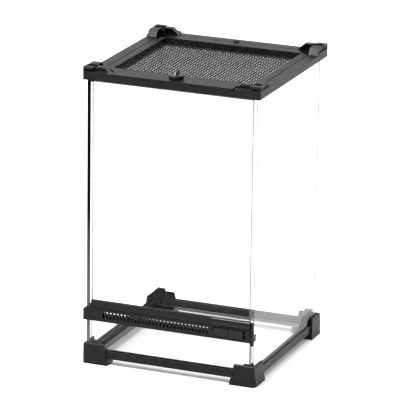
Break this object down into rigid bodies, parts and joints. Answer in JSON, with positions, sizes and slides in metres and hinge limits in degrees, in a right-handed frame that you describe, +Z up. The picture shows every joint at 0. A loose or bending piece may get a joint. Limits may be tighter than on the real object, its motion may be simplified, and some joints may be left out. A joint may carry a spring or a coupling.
{
  "type": "front-opening glass terrarium",
  "caption": "Upright glass terrarium on a black moulded base, with a side-hinged front door, a slotted vent bar with latch, and a lift-up mesh lid.",
  "frame": {"origin": "centre of the footprint, on the plane that the four feet stand on", "axes": "+Z up, the door faces -Y, +X to the right when seen from the front, so the latch is at +X and the door hinge at -X"},
  "size_m": [0.206, 0.2072, 0.3418],
  "materials": {
    "black_plastic": "black moulded plastic with a fine satin grain",
    "latch_plastic": "smooth black plastic, a little glossier than the frames",
    "glass": "clear float glass with ground edges",
    "clear_silicone": "clear silicone sealant",
    "edge_strip": "thin black strip on the pane's front edge",
    "black_mesh": "black coated woven wire",
    "steel": "plain bright steel"
  },
  "bodies": {
    "tank": {"foot_front_left": "black_plastic", "foot_front_right": "black_plastic", "foot_rear_left": "black_plastic", "foot_rear_right": "black_plastic", "base_rail_front": "black_plastic", "base_rail_back": "black_plastic", "base_rail_left": "black_plastic", "base_rail_right": "black_plastic", "floor_glass": "glass", "left_glass": "glass", "right_glass": "glass", "back_glass": "glass", "lower_front_glass": "glass", "silicone_beads": "clear_silicone", "glass_edge_strip": "edge_strip", "vent_bar": "black_plastic", "bar_end_left": "black_plastic", "bar_end_right": "black_plastic", "top_frame": "black_plastic", "stacking_corner_front_left": "black_plastic", "stacking_corner_front_right": "black_plastic", "stacking_corner_rear_left": "black_plastic", "stacking_corner_rear_right": "black_plastic", "lid_hinge_pin": "steel"},
    "door": {"door_glass": "glass", "door_rail": "black_plastic", "door_handle": "latch_plastic", "door_catch": "black_plastic", "door_pivot_clip": "black_plastic", "door_pin_top": "steel", "door_pin_bottom": "steel"},
    "lid": {"lid_frame": "black_plastic", "mesh_screen": "black_mesh", "mesh_retainer": "black_plastic", "retainer_screws": "steel"},
    "knob": {"lid_knob": "latch_plastic", "lid_cam": "black_plastic", "knob_screw": "steel"},
    "release_button": {"release_button": "latch_plastic"},
    "lock_slider": {"lock_slider": "latch_plastic"}
  },
  "joints": [
    {"name": "door_hinge", "type": "hinge", "parent": "tank", "child": "door", "pos_m": [-0.093, -0.1005, 0.19], "axis": [0, 0, -1], "range_deg": [0, 110]},
    {"name": "lid_hinge", "type": "hinge", "parent": "tank", "child": "lid", "pos_m": [-0.002, 0.0914, 0.3314], "axis": [-1, 0, 0], "range_deg": [0, 75]},
    {"name": "knob_turn", "type": "hinge", "parent": "lid", "child": "knob", "pos_m": [0.001, -0.089, 0.333], "axis": [0, 0, -1], "range_deg": [0, 90]},
    {"name": "button_press", "type": "slide", "parent": "tank", "child": "release_button", "axis": [0, 1, 0], "range_m": [0, 0.001], "stiffness_N_per_m": 300},
    {"name": "slider_slide", "type": "slide", "parent": "tank", "child": "lock_slider", "axis": [1, 0, 0], "range_m": [0, 0.0022]}
  ]
}
